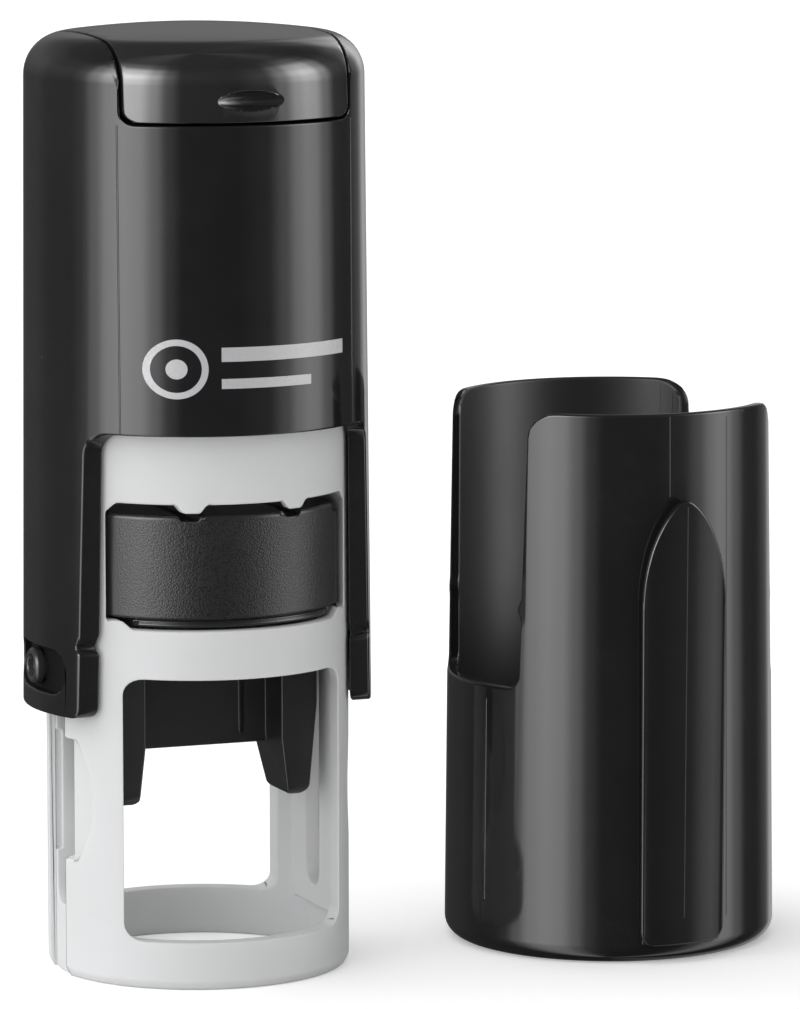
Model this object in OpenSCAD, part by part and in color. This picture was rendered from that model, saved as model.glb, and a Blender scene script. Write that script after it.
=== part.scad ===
// Pocket self-inking stamp with a round die, and its clip-on cap standing beside it.
// +Z is up. The origin is on the stamp's axis, in the plane that it prints on.
// The front of the stamp, and the clip of the cap, face -Y.

/* [Stamp] */
// Height of the stamp at rest, from the paper to the crown
stamp_h = 68; // [67:0.5:70]
// Travel of the casing when the stamp is pressed
press_travel = 16; // [15:0.5:16]
// Height of the die carrier's pivot at rest
pivot_z = 22.4; // [22:0.1:22.6]
// Radius of the round die
die_r = 6; // [5:0.5:6]

/* [Casing] */
// Outer radius of the casing at the ends of its arms
casing_low_r = 12.55; // [12.4:0.05:12.8]
// Outer radius of the casing just under its shoulder
casing_high_r = 12.16; // [12:0.05:12.4]
// Radius of the bore that slides on the base frame
casing_bore_r = 11.2; // [11.1:0.05:11.3]
// Height of the ends of the arms
arm_end_z = 19.3; // [19:0.1:19.8]
// Height of the top edge of the two windows
window_top_z = 39.8; // [39:0.1:40.5]
// Half width of an arm at its end
arm_end_w = 6; // [5.6:0.05:6.2]
// Half width of an arm where it leaves the casing
arm_root_w = 6.4; // [6.2:0.05:6.6]
// Half width of the index cover on the crown
cover_half_w = 8.35; // [8:0.05:8.8]
// Height of the lower edge of the index cover
cover_low_z = 61.8; // [61.5:0.1:62.5]

/* [Base frame] */
// Outer radius of the base frame
frame_r = 10.9; // [10.8:0.05:10.95]
// Inner radius of the base frame above its ring
frame_bore_r = 9.8; // [9.7:0.05:9.9]
// Inner radius of the ring that stands on the paper
ring_bore_r = 9.5; // [9.3:0.05:9.6]
// Height of that ring
base_ring_h = 3.45; // [3:0.05:4]
// Top of the lower windows
low_window_top_z = 22.3; // [22:0.1:22.6]
// Half width of the lower windows
low_window_w = 8.1; // [7.9:0.05:8.3]
// Bottom of the opening for the ink cartridge
pad_window_z = 25.8; // [25.6:0.1:25.9]
// Top of the opening for the ink cartridge
pad_window_top_z = 34.8; // [34.5:0.1:35]

/* [Cap] */
// Place of the cap beside the stamp, to the right
cap_x = 31.6; // [27:0.1:40]
// Place of the cap beside the stamp, to the back
cap_y = -1.5; // [-6:0.1:6]
// Turn of the cap about its axis, its clip towards +X
cap_turn = 2.4; // [-10:0.1:10]
// Height of the cap
cap_h = 40; // [39:0.5:41]
// Outer radius of the cap above its rounded foot
cap_r = 12.12; // [12:0.02:12.3]
// Outer radius of the cap at its rim
cap_rim_r = 11.72; // [11.6:0.02:11.9]
// Inner radius of the cap
cap_bore_r = 11.15; // [11.1:0.01:11.2]
// Inner radius of the seat at the bottom of the cap
cap_seat_r = 11; // [10.96:0.02:11.04]
// Height of the floor of the two side slots
cap_slot_z = 19.8; // [19:0.1:20.5]

/* [Hidden] */
$fn = 72;
reach = 40;

// Crown and shoulder of the casing
crown_r = 72;
shoulder_r = 3;
shoulder_x = casing_high_r - shoulder_r;
crown_z = stamp_h - crown_r;
shoulder_z = crown_z + sqrt(pow(crown_r - shoulder_r, 2) - pow(shoulder_x, 2));
shoulder_turn = atan2(shoulder_z - crown_z, shoulder_x);
cover_t = 1;
cover_gap = 0.2;
card_r = 7;
card_t = 0.2;
card_z = stamp_h - 1.7;
bore_top_z = cover_low_z - 1.5;
spring_room_r = 9.6;
roof_z = stamp_h - 3;
spring_post_r = 3.3;

// Pocket and pivot in the arms
pocket_floor_r = 11.85;
pocket_r = 1.6;
pocket_straight = 3.1;
pin_r = 1.15;
pin_bore_r = 1.2;
pin_head_r = 1.3;
pin_end_x = 12.62;
notch_z = 24.4;
notch_depth = 0.35;

// Base frame
frame_top_z = 44;
deck_z = 41.8;
deck_t = 1.2;
cheek_x = 8.8;
base_cheek_x = 9.3;
channel_r = 10.15;
channel_front_y = -1.8;
channel_back_y = 1.9;
channel_top_z = 26;
cam_y = -4.9;
cam_z = 13;
cam_r = 6.7;
cam_half_h = 4.35;
pin_slot_r = 1.35;

// Die carrier and its stack
head_r = 6.9;
head_z = pivot_z + 2.2;
head_t = 1.4;
foam_t = 1.2;
die_back_t = 0.8;
relief_t = 0.7;
leg_in_x = 5.15;
leg_in_tip_x = 5.6;
leg_out_x = 7.9;
leg_tip_x = 7.35;
leg_end_z = 12.3;

// Ink cartridge
tray_z = 26;
tray_top_z = 34;
tray_r = 10.4;
tray_half_w = 8.75;
tray_foot_w = 7.3;
felt_z = head_z + head_t + foam_t + die_back_t + relief_t + 0.3;
felt_t = 4;
felt_r = 7.7;

// Return spring
spring_z = deck_z + deck_t;
spring_len = roof_z - spring_z;
coil_r = 4.1;
wire_r = 0.33;
coil_turns = 7;
coil_steps = 18;
wire_sides = 6;

// Cap and clip
cap_floor_t = 1.2;
cap_foot_round = 1.4;
cap_slot_w = 6.15;
cap_slot_top_w = 6.55;
catch_z = notch_z + cap_floor_t;
cap_seat_z = 14;
clip_in_r = 12.35;
clip_out_r = 13.2;
clip_half_w = 3.35;
clip_z = 1.4;
clip_top_z = 33.9;
clip_arch_h = 8;

// Points along an arc of centre x, y, counted from angle a to angle b
function arc(x, y, r, a, b, n) =
    [for (i = [0 : n]) [x + r * cos(a + (b - a) * i / n), y + r * sin(a + (b - a) * i / n)]];

// Outline of the casing from its arms to its crown, set in by a wall of d
function dome_outline(d) = concat(
    [[0, arm_end_z], [casing_low_r - d, arm_end_z]],
    arc(shoulder_x, shoulder_z, shoulder_r - d, 0, shoulder_turn, 8),
    [for (i = [1 : 5]) let (a = shoulder_turn + (90 - shoulder_turn) * i / 5)
        [i == 5 ? 0 : (crown_r - d) * cos(a), crown_z + (crown_r - d) * sin(a)]]
);

module dome(d) {
    rotate_extrude($fn = 96)
        polygon(dome_outline(d));
}

module tube(outer, inner, z, h) {
    translate([0, 0, z])
        difference() {
            cylinder(r = outer, h = h);
            translate([0, 0, -1])
                cylinder(r = inner, h = h + 2);
        }
}

// A flat outline drawn in X and Z, run through the part along Y
module along_y(width = reach) {
    translate([0, width / 2, 0])
        rotate([90, 0, 0])
            linear_extrude(height = width)
                children();
}

// A flat outline drawn in Y and Z, run through the part along X
module along_x(width = reach) {
    translate([-width / 2, 0, 0])
        rotate([90, 0, 90])
            linear_extrude(height = width)
                children();
}

module both_sides() {
    children();
    mirror([1, 0, 0])
        children();
}

// Side view of the casing: full width above the windows, two arms below
function arm_half(z) = arm_end_w + (arm_root_w - arm_end_w) * (z - arm_end_z) / (window_top_z - arm_end_z);

function arm_edge() = concat(
    arc(arm_end_w - 0.8, arm_end_z + 0.8, 0.8, -90, 0, 5),
    [[arm_half(notch_z - 0.5), notch_z - 0.5],
     [arm_half(notch_z) - notch_depth, notch_z],
     [arm_half(notch_z + 0.9), notch_z + 0.9]],
    arc(arm_root_w + 1.6, window_top_z - 1.6, 1.6, 180, 90, 6),
    [[20, window_top_z], [20, stamp_h + 1]]
);

module casing_side_view() {
    polygon(concat(
        arm_edge(),
        [for (i = [len(arm_edge()) - 1 : -1 : 0]) [-arm_edge()[i][0], arm_edge()[i][1]]]
    ));
}

module stadium(half_len, r) {
    translate([-half_len, -r])
        square([2 * half_len, 2 * r]);
    for (end = [-1, 1])
        translate([end * half_len, 0])
            circle(r = r);
}

module arm_pockets() {
    difference() {
        along_x()
            translate([0, pivot_z])
                stadium(pocket_straight, pocket_r);
        translate([0, 0, arm_end_z - 1])
            cylinder(r = pocket_floor_r, h = 10);
    }
}

module cross_pin(r, half_len) {
    translate([-half_len, 0, pivot_z])
        rotate([0, 90, 0])
            cylinder(r = r, h = 2 * half_len);
}

// Block of the crown that the index cover takes up, grown by g
function cover_edge(g) = concat(
    arc(cover_half_w + g - 0.9, cover_low_z - g + 0.9, 0.9, -90, 0, 5),
    [[cover_half_w + g, stamp_h + 1]]
);

module cover_block(g) {
    along_y()
        polygon(concat(
            cover_edge(g),
            [for (i = [len(cover_edge(g)) - 1 : -1 : 0]) [-cover_edge(g)[i][0], cover_edge(g)[i][1]]]
        ));
}

module casing() {
    color("#19191b") {
        difference() {
            intersection() {
                dome(0);
                along_x()
                    casing_side_view();
            }
            translate([0, 0, arm_end_z - 1])
                cylinder(r = casing_bore_r, h = bore_top_z - arm_end_z + 1);
            translate([0, 0, bore_top_z - 1])
                cylinder(r = spring_room_r, h = roof_z - bore_top_z + 1);
            difference() {
                cover_block(cover_gap);
                dome(cover_t + cover_gap);
            }
            translate([0, 0, card_z])
                cylinder(r = card_r + 0.2, h = 5);
            arm_pockets();
            cross_pin(pin_bore_r, reach / 2);
        }
        translate([0, 0, roof_z - 3.5])
            cylinder(r = spring_post_r, h = 4);
    }
}

// Thumbnail slot: a thin lens let into the front of the cover
module thumb_lens() {
    lens_r = 7.25;
    lens_half_t = 0.65;
    translate([0, -casing_high_r - 0.75, cover_low_z + 1.5])
        intersection_for(side = [-1, 1])
            translate([0, 0, side * (lens_r - lens_half_t)])
                sphere(r = lens_r);
}

module index_cover() {
    color("#242426")
        difference() {
            intersection() {
                difference() {
                    dome(0);
                    dome(cover_t);
                }
                cover_block(0);
            }
            thumb_lens();
        }
}

module index_card() {
    color("ivory")
        translate([0, 0, card_z])
            cylinder(r = card_r, h = card_t);
}

// Round wire coil, swept ring by ring along its helix
module return_spring() {
    rise = spring_len - 2 * wire_r;
    rings = coil_turns * coil_steps;
    points = [for (i = [0 : rings], j = [0 : wire_sides - 1])
        let (a = 360 * i / coil_steps, b = 360 * j / wire_sides, r = coil_r + wire_r * cos(b))
        [r * cos(a), r * sin(a), spring_z + wire_r + rise * i / rings + wire_r * sin(b)]];
    sides = [for (i = [0 : rings - 1], j = [0 : wire_sides - 1])
        let (k = (j + 1) % wire_sides)
        [i * wire_sides + j, (i + 1) * wire_sides + j, (i + 1) * wire_sides + k, i * wire_sides + k]];
    start = [for (j = [0 : wire_sides - 1]) j];
    end = [for (j = [wire_sides - 1 : -1 : 0]) rings * wire_sides + j];
    color("silver")
        polyhedron(points, concat([start], sides, [end]));
}

module low_window() {
    half = low_window_w;
    r = 1.2;
    mid_z = (base_ring_h + low_window_top_z) / 2;
    tall = low_window_top_z - base_ring_h;
    translate([0, mid_z]) {
        square([2 * half - 2 * r, tall], center = true);
        square([2 * half, tall - 2 * r], center = true);
        for (sx = [-1, 1], sz = [-1, 1])
            translate([sx * (half - r), sz * (tall / 2 - r)])
                circle(r = r);
    }
}

// Opening for the cartridge, with two small tabs hanging from its top edge
function pad_edge() = [
    [0, pad_window_z], [7.5, pad_window_z], [8.1, pad_window_z + 0.6],
    [8.95, pad_window_z + 0.6], [8.95, pad_window_top_z - 0.7], [8.4, pad_window_top_z],
    [4.85, pad_window_top_z], [4.4, pad_window_top_z - 0.6],
    [3.3, pad_window_top_z - 0.6], [2.85, pad_window_top_z], [0, pad_window_top_z]
];

module pad_window() {
    polygon(pad_edge());
    mirror([1, 0])
        polygon(pad_edge());
}

// Side view of the channel that the carrier's pin runs along, with a cam recess at its front
module channel_side_view() {
    translate([channel_front_y, -1])
        square([channel_back_y - channel_front_y, channel_top_z + 1]);
    intersection() {
        translate([cam_y + cam_r, cam_z])
            circle(r = cam_r);
        translate([cam_y, cam_z - cam_half_h])
            square([channel_back_y - cam_y, 2 * cam_half_h]);
    }
}

module side_channel() {
    difference() {
        translate([channel_r - 4, 0, 0])
            rotate([90, 0, 90])
                linear_extrude(height = 10)
                    channel_side_view();
        translate([0, 0, -2])
            cylinder(r = channel_r, h = channel_top_z + 4);
    }
}

module pin_slot() {
    low = pivot_z - press_travel - 0.15;
    high = pivot_z + 0.15;
    rotate([90, 0, 90])
        linear_extrude(height = reach / 2) {
            translate([-pin_slot_r, low])
                square([2 * pin_slot_r, high - low]);
            for (z = [low, high])
                translate([0, z])
                    circle(r = pin_slot_r);
        }
}

module cheek(x, z, h) {
    intersection() {
        translate([0, 0, z])
            cylinder(r = frame_bore_r + 0.3, h = h);
        translate([x, -reach / 2, z - 1])
            cube([reach / 2, reach, h + 2]);
    }
}

module base_frame() {
    color("#dcdddf")
        difference() {
            union() {
                difference() {
                    rotate_extrude($fn = 96)
                        polygon([[0, 0], [frame_r - 0.35, 0], [frame_r, 0.6],
                                 [frame_r, frame_top_z - 0.5], [frame_r - 0.5, frame_top_z],
                                 [0, frame_top_z]]);
                    translate([0, 0, -1])
                        cylinder(r = ring_bore_r, h = frame_top_z + 2);
                    translate([0, 0, base_ring_h])
                        cylinder(r = frame_bore_r, h = frame_top_z);
                }
                both_sides() {
                    cheek(base_cheek_x, 0, base_ring_h + 0.1);
                    cheek(cheek_x, base_ring_h, deck_z - base_ring_h);
                }
                translate([0, 0, deck_z])
                    cylinder(r = frame_bore_r + 0.3, h = deck_t);
                translate([0, 0, deck_z])
                    cylinder(r = spring_post_r, h = deck_t + 2);
            }
            along_y()
                low_window();
            along_y()
                pad_window();
            both_sides() {
                side_channel();
                pin_slot();
            }
        }
}

module ink_tray() {
    color("#1d1d1f")
        difference() {
            intersection() {
                translate([0, 0, tray_z])
                    cylinder(r = tray_r, h = tray_top_z - tray_z);
                cube([2 * tray_half_w, reach, 3 * reach], center = true);
            }
            translate([0, 0, tray_z - 1])
                cylinder(r = 8.3, h = felt_z - tray_z + 1);
            translate([0, 0, felt_z - 1])
                cylinder(r = felt_r, h = felt_t + 1);
            both_sides()
                along_y() {
                    polygon([[2.85, tray_top_z + 1], [3.25, tray_top_z - 0.4],
                             [4.45, tray_top_z - 0.4], [4.85, tray_top_z + 1]]);
                    translate([tray_foot_w, tray_z - 1])
                        square([4, 1.6]);
                }
        }
}

module ink_pad() {
    color("#26222e")
        translate([0, 0, felt_z])
            cylinder(r = felt_r, h = felt_t);
}

// Side view of a leg: square front, back edge slanting in towards the tip
module leg_side_view() {
    polygon(concat(
        arc(-2.8, leg_end_z + 0.8, 0.8, -90, -180, 4),
        [[-3.6, head_z + head_t], [3.4, head_z + head_t], [3.4, 19],
         [2.4, 15.5], [0.9, leg_end_z]]
    ));
}

// Front view of the right leg: outer corner rounded, sides tapering
module leg_front_view() {
    polygon(concat(
        [[leg_in_x, head_z + head_t], [leg_in_x, 16.5], [leg_in_tip_x, leg_end_z + 0.3],
         [leg_in_tip_x + 0.3, leg_end_z]],
        arc(leg_tip_x - 0.9, leg_end_z + 0.9, 0.9, -90, 0, 4),
        [[leg_out_x, 19], [leg_out_x, head_z + head_t]]
    ));
}

module die_carrier() {
    color("#161618")
        difference() {
            union() {
                translate([0, 0, head_z])
                    cylinder(r = head_r, h = head_t);
                both_sides() {
                    intersection() {
                        along_x()
                            leg_side_view();
                        along_y()
                            leg_front_view();
                    }
                    translate([leg_out_x - 0.5, 0, pivot_z])
                        rotate([0, 90, 0])
                            cylinder(r = 2.4, h = 1.15);
                }
                translate([-leg_in_x - 0.5, -0.3, 15.8])
                    cube([2 * leg_in_x + 1, 1.5, head_z + 0.5 - 15.8]);
            }
            both_sides()
                translate([leg_in_x + 0.6, 0, pivot_z])
                    rotate([0, 90, 0])
                        cylinder(r = pin_r, h = 5);
        }
}

// Two stepped pins, pushed in from outside through the arms and the frame
module axle_pins() {
    color("#2a2a2c")
        both_sides()
            translate([0, 0, pivot_z])
                rotate([0, 90, 0])
                    difference() {
                        union() {
                            translate([0, 0, leg_in_x + 0.6])
                                cylinder(r = pin_r, h = pin_end_x - leg_in_x - 1);
                            translate([0, 0, pocket_floor_r + 0.1])
                                cylinder(r = pin_head_r, h = pin_end_x - pocket_floor_r - 0.3);
                            translate([0, 0, pin_end_x - 0.2])
                                cylinder(r1 = pin_head_r, r2 = pin_head_r - 0.2, h = 0.2);
                        }
                        translate([0, 0, pin_end_x - 0.55])
                            cylinder(r = 0.8, h = 1);
                    }
}

module die_foam() {
    color("dimgray")
        translate([0, 0, head_z + head_t])
            cylinder(r = die_r + 0.3, h = foam_t);
}

// Rubber die: a back, a border ring and plain bars where the lines of text would be
module rubber_die() {
    z = head_z + head_t + foam_t;
    color("#7c3a32") {
        translate([0, 0, z])
            cylinder(r = die_r, h = die_back_t);
        tube(die_r, die_r - 0.5, z, die_back_t + relief_t);
        for (bar = [[1.8, 5.4], [0, 7.6], [-1.8, 5.4]])
            translate([-bar[1] / 2, bar[0] - 0.4, z])
                cube([bar[1], 0.8, die_back_t + relief_t]);
    }
}

module at_cap() {
    translate([cap_x, cap_y, 0])
        rotate([0, 0, cap_turn])
            children();
}

module cap_outside() {
    rotate_extrude($fn = 96)
        polygon(concat(
            [[0, 0]],
            arc(cap_r - cap_foot_round, cap_foot_round, cap_foot_round, -90, 0, 5),
            [[cap_rim_r, cap_h], [0, cap_h]]
        ));
}

// Half outline of a side slot, with a round foot, a small catch and a flared rim
function slot_half(z) = cap_slot_w + (cap_slot_top_w - cap_slot_w) * (z - cap_slot_z) / (cap_h - cap_slot_z);

function cap_slot_edge() = concat(
    arc(cap_slot_w - 1, cap_slot_z + 1, 1, -90, 0, 5),
    [[slot_half(catch_z - 0.8), catch_z - 0.8],
     [slot_half(catch_z) - 0.25, catch_z - 0.2],
     [slot_half(catch_z) - 0.25, catch_z + 0.2],
     [slot_half(catch_z + 0.8), catch_z + 0.8]],
    arc(cap_slot_top_w + 1.9, cap_h - 1.9, 1.9, 180, 90, 6),
    [[cap_slot_top_w + 1.9, cap_h + 1]]
);

module cap_slots() {
    along_x()
        polygon(concat(
            cap_slot_edge(),
            [for (i = [len(cap_slot_edge()) - 1 : -1 : 0])
                [-cap_slot_edge()[i][0], cap_slot_edge()[i][1]]]
        ));
}

module cap_shell() {
    color("#19191b")
        at_cap()
            difference() {
                cap_outside();
                translate([0, 0, cap_floor_t])
                    cylinder(r = cap_seat_r, h = cap_seat_z);
                translate([0, 0, cap_seat_z])
                    cylinder(r1 = cap_seat_r, r2 = cap_bore_r, h = 1);
                translate([0, 0, cap_seat_z + 1])
                    cylinder(r = cap_bore_r, h = cap_h);
                cap_slots();
            }
}

// Front view of half the clip: round foot, straight sides, pointed arch
function clip_edge() = concat(
    arc(clip_half_w - 1.1, clip_z + 1.1, 1.1, -90, 0, 4),
    [for (i = [0 : 9]) let (down = pow(1 - i / 9, 1.6) + 0.01)
        [clip_half_w * sin(90 * pow(min(down, 1), 0.66)), clip_top_z - clip_arch_h * down]]
);

module pocket_clip() {
    color("#161618")
        at_cap()
            intersection() {
                union() {
                    tube(clip_out_r, clip_in_r, 0, cap_h);
                    difference() {
                        translate([0, 0, clip_z])
                            cylinder(r = clip_in_r + 0.1, h = 1.6);
                        cap_outside();
                    }
                }
                translate([0, -reach / 2, 0])
                    along_y()
                        polygon(concat(
                            clip_edge(),
                            [for (i = [len(clip_edge()) - 1 : -1 : 0])
                                [-clip_edge()[i][0], clip_edge()[i][1]]]
                        ));
            }
}

casing();
index_cover();
index_card();
return_spring();
base_frame();
ink_tray();
ink_pad();
die_carrier();
axle_pins();
die_foam();
rubber_die();
cap_shell();
pocket_clip();
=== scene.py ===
# %% [markdown]
# # A pocket self-inking stamp and its clip-on cap
# The stamp is a glossy black casing that slides down over a light grey frame. On the way down the carrier
# inside turns the die over, from the ink pad above it to the paper below it. The cap stands beside it.
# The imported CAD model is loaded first. It is the fixed frame: every piece made here rides on one of its
# bodies, so the whole model moves as the real one does.

# %% Load the frame
import math
import bmesh
import bpy
from mathutils import Matrix, Vector


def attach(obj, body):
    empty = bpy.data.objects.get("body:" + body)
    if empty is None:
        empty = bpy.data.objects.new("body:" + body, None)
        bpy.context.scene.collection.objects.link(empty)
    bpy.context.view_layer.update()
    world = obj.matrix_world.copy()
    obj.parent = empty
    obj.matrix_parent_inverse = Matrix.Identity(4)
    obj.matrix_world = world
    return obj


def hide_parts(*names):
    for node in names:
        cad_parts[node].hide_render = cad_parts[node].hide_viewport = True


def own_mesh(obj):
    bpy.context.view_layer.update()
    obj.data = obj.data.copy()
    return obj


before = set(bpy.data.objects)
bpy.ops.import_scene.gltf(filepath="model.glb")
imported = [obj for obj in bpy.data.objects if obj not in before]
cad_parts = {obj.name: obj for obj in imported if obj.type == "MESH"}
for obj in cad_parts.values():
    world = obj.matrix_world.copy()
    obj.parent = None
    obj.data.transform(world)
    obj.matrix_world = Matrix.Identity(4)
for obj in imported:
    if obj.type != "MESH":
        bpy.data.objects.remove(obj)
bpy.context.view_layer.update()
scene = bpy.context.scene

# %% [markdown]
# ## Working in millimetres
# The stamp is small, so sizes are easier to read in millimetres. Each piece is shaped in millimetres and
# made metres once, at the end. Three helpers cover almost all of it. A lathe spins an outline round the
# stamp's axis, as the mould's round core is turned. A prism pushes a flat outline through the part, as a
# side core does. The third helper rounds a corner of an outline.

# %% Outlines, lathes and prisms
TURNS = 144
# cutters reach this far, clear of the outside of every piece
CLEAR = 20


def arc(x, y, r, start, end, steps):
    """Points round part of a circle, from start to end in degrees."""
    turn = [math.radians(start + (end - start) * i / steps) for i in range(steps + 1)]
    return [(x + r * math.cos(a), y + r * math.sin(a)) for a in turn]


def tidy_mesh(bm):
    bmesh.ops.remove_doubles(bm, verts=bm.verts, dist=1e-4)
    bmesh.ops.recalc_face_normals(bm, faces=bm.faces)
    return bm


def lathe(outline, steps=TURNS):
    """A solid of revolution about Z, from (radius, height) points.

    An outline that isn't a closed ring starts and ends on the axis.
    """
    bm = bmesh.new()
    ring = [bm.verts.new((r, 0, z)) for r, z in outline]
    pairs = list(zip(ring, ring[1:]))
    if outline[0][0] > 1e-6 or outline[-1][0] > 1e-6:
        pairs.append((ring[-1], ring[0]))
    edges = [bm.edges.new(p) for p in pairs]
    bmesh.ops.spin(bm, geom=ring + edges, cent=(0, 0, 0), axis=(0, 0, 1),
                   angle=math.tau, steps=steps, use_merge=True)
    return tidy_mesh(bm)


def prism(outline, along, low, high):
    """A flat outline pushed from low to high: (y, z) points along X, (x, z) points along Y."""
    place = {"x": lambda a, b: (low, a, b), "y": lambda a, b: (a, low, b)}[along]
    push = {"x": (1, 0, 0), "y": (0, 1, 0)}[along]
    bm = bmesh.new()
    face = bm.faces.new([bm.verts.new(place(a, b)) for a, b in outline])
    grown = bmesh.ops.extrude_face_region(bm, geom=[face])
    moved = [v for v in grown["geom"] if isinstance(v, bmesh.types.BMVert)]
    bmesh.ops.translate(bm, verts=moved, vec=Vector(push) * (high - low))
    return tidy_mesh(bm)


def block(low, high):
    bm = bmesh.new()
    bmesh.ops.create_cube(bm, size=1)
    size = [h - l for l, h in zip(low, high)]
    bmesh.ops.scale(bm, verts=bm.verts, vec=size)
    bmesh.ops.translate(bm, verts=bm.verts, vec=[(l + h) / 2 for l, h in zip(low, high)])
    return tidy_mesh(bm)


def moved(bm, matrix):
    bmesh.ops.transform(bm, matrix=matrix, verts=bm.verts)
    return tidy_mesh(bm)


def turned_to_x(bm, side=1):
    """A lathe's axis laid along X, its top pointing out to that side."""
    return moved(bm, Matrix.Rotation(math.radians(90 * side), 4, "Y"))


def mirrored_pair(outline):
    """A symmetric outline from its right half, which starts and ends off the middle."""
    return outline + [(-x, y) for x, y in reversed(outline)]


print("points in a quarter turn:", len(arc(0, 0, 1, 0, 90, 6)))

# %% [markdown]
# ## Cutting and joining
# Windows, slots and pockets are cut with the Boolean modifier, because the real mould makes them the same
# way: one core passes through another. Each result is merged, its edges are rounded by a Bevel modifier, and
# Weighted Normal keeps the flats flat. Cuts come first and the rounding last, because a cut through a rounded
# solid can come out empty. The rounding is what makes black plastic look moulded: every edge catches a thin
# line of light.

# %% Boolean and finishing helpers
MM = 0.001
MERGE, SLIVER = 0.012, 0.004
FLATS_WEIGHT = 60


def raw_object(bm, name="raw"):
    mesh = bpy.data.meshes.new(name)
    bm.to_mesh(mesh)
    bm.free()
    thing = bpy.data.objects.new(name, mesh)
    scene.collection.objects.link(thing)
    return thing


def baked(thing):
    """The object's mesh with its modifiers applied, as a bmesh; the object goes."""
    bpy.context.view_layer.update()
    seen = thing.evaluated_get(bpy.context.evaluated_depsgraph_get())
    bm = bmesh.new()
    bm.from_mesh(seen.to_mesh())
    seen.to_mesh_clear()
    bpy.data.objects.remove(thing)
    return bm


def combine(base, operation, *tools):
    """base with each tool joined, cut away or kept in common, in turn."""
    for tool in tools:
        thing, other = raw_object(base), raw_object(tool, "tool")
        step = thing.modifiers.new("step", "BOOLEAN")
        step.operation = operation
        step.solver = "EXACT"
        step.object = other
        base = baked(thing)
        bpy.data.objects.remove(other)
    return base


def cut(base, *tools):
    return combine(base, "DIFFERENCE", *tools)


def joined(base, *tools):
    return combine(base, "UNION", *tools)


def common(base, *tools):
    return combine(base, "INTERSECT", *tools)


def rounded(bm, edge, segments=2, angle=32):
    """Merges what a cut left behind and rounds every edge sharper than the angle."""
    bmesh.ops.remove_doubles(bm, verts=bm.verts, dist=MERGE)
    bmesh.ops.dissolve_degenerate(bm, edges=bm.edges, dist=SLIVER)
    if not edge:
        return bm
    thing = raw_object(bm)
    rounding = thing.modifiers.new("rounding", "BEVEL")
    rounding.width = edge
    rounding.segments = segments
    rounding.profile = 0.5
    rounding.limit_method = "ANGLE"
    rounding.angle_limit = math.radians(angle)
    rounding.use_clamp_overlap = False
    rounding.miter_outer = "MITER_ARC"
    return baked(thing)


def finished(bm, name, body, material, nodes,
             edge=0.12, segments=2, angle=32, sharp=0, place=None):
    """Rounds the edges, makes it metres, gives it a finish and hangs it on its body."""
    bm = rounded(bm, edge, segments, angle)
    if place is not None:
        bmesh.ops.transform(bm, matrix=place, verts=bm.verts)
    bmesh.ops.scale(bm, vec=(MM,) * 3, verts=bm.verts)
    for face in bm.faces:
        face.smooth = True
    thing = raw_object(bm, name)
    if sharp:
        thing.data.set_sharp_from_angle(angle=math.radians(sharp))
    flats = thing.modifiers.new("flats", "WEIGHTED_NORMAL")
    flats.weight = FLATS_WEIGHT
    flats.keep_sharp = bool(sharp)
    thing.data.materials.append(material)
    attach(thing, body)
    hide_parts(*nodes)
    size = [round((b - a) * 1000, 2) for a, b in zip(*box_of(thing))]
    print(name, "size in mm:", size, "faces:", len(thing.data.polygons))
    return thing


def box_of(thing):
    spots = [v.co for v in thing.data.vertices]
    return [min(s[i] for s in spots) for i in range(3)], [max(s[i] for s in spots) for i in range(3)]


# %% [markdown]
# ## The camera
# A long lens from the front left, a little above, so the two pieces keep their true proportions. The lens is
# set by its field over the long side of the frame.

# %% Camera
EYE, TARGET, ROLL = (-0.1549, -0.4431, 0.0992), (0.01595, 0.00067, 0.03244), -0.078
LENS = 235.06


def aim_from(eye, target, roll):
    look = (Vector(target) - Vector(eye)).normalized()
    turn = look.to_track_quat("-Z", "Y").to_matrix().to_4x4()
    return Matrix.Translation(eye) @ turn @ Matrix.Rotation(math.radians(roll), 4, "Z")


camera_data = bpy.data.cameras.new("camera")
camera = bpy.data.objects.new("camera", camera_data)
scene.collection.objects.link(camera)
camera.matrix_world = aim_from(EYE, TARGET, ROLL)
camera_data.sensor_fit = "VERTICAL"
camera_data.sensor_height = 36
camera_data.lens = LENS
camera_data.clip_start = 0.01
camera_data.clip_end = 20
scene.camera = camera
scene.view_settings.view_transform = "Standard"
print("camera at", [round(v, 4) for v in camera.location])

# %% [markdown]
# ## Light
# Black gloss shows nothing but what it reflects, so the light is made of two parts. A soft, even light,
# fuller from the left, falls on everything matt. What the gloss sees is a dark studio with two tall soft
# boxes, a broad one on the left and a narrower one on the right, and dim walls behind. One ramp over the
# compass direction and one over the height hold them. Light Path tells the two lights apart, and keeps the
# backdrop white where the camera looks past the floor.

# %% World
def link(tree, out, into):
    tree.links.new(out, into)


def maths(tree, operation, *values):
    node = tree.nodes.new("ShaderNodeMath")
    node.operation = operation
    for socket, value in zip(node.inputs, values):
        if isinstance(value, (int, float)):
            socket.default_value = value
        else:
            link(tree, value, socket)
    return node.outputs[0]


def times(tree, first, second):
    return maths(tree, "MULTIPLY", first, second)


def plus(tree, first, second):
    return maths(tree, "ADD", first, second)


def axis_of(tree, where):
    node = tree.nodes.new("ShaderNodeSeparateXYZ")
    link(tree, where, node.inputs[0])
    return node.outputs


def ramp(tree, source, stops):
    """Grey levels at places from 0 to 1, eased between."""
    node = tree.nodes.new("ShaderNodeValToRGB")
    node.color_ramp.interpolation = "EASE"
    line = node.color_ramp.elements
    while len(line) < len(stops):
        line.new(0.5)
    for stop, (at, level) in zip(line, stops):
        stop.position = at
        stop.color = (level, level, level, 1)
    link(tree, source, node.inputs[0])
    return node.outputs[0]


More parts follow.
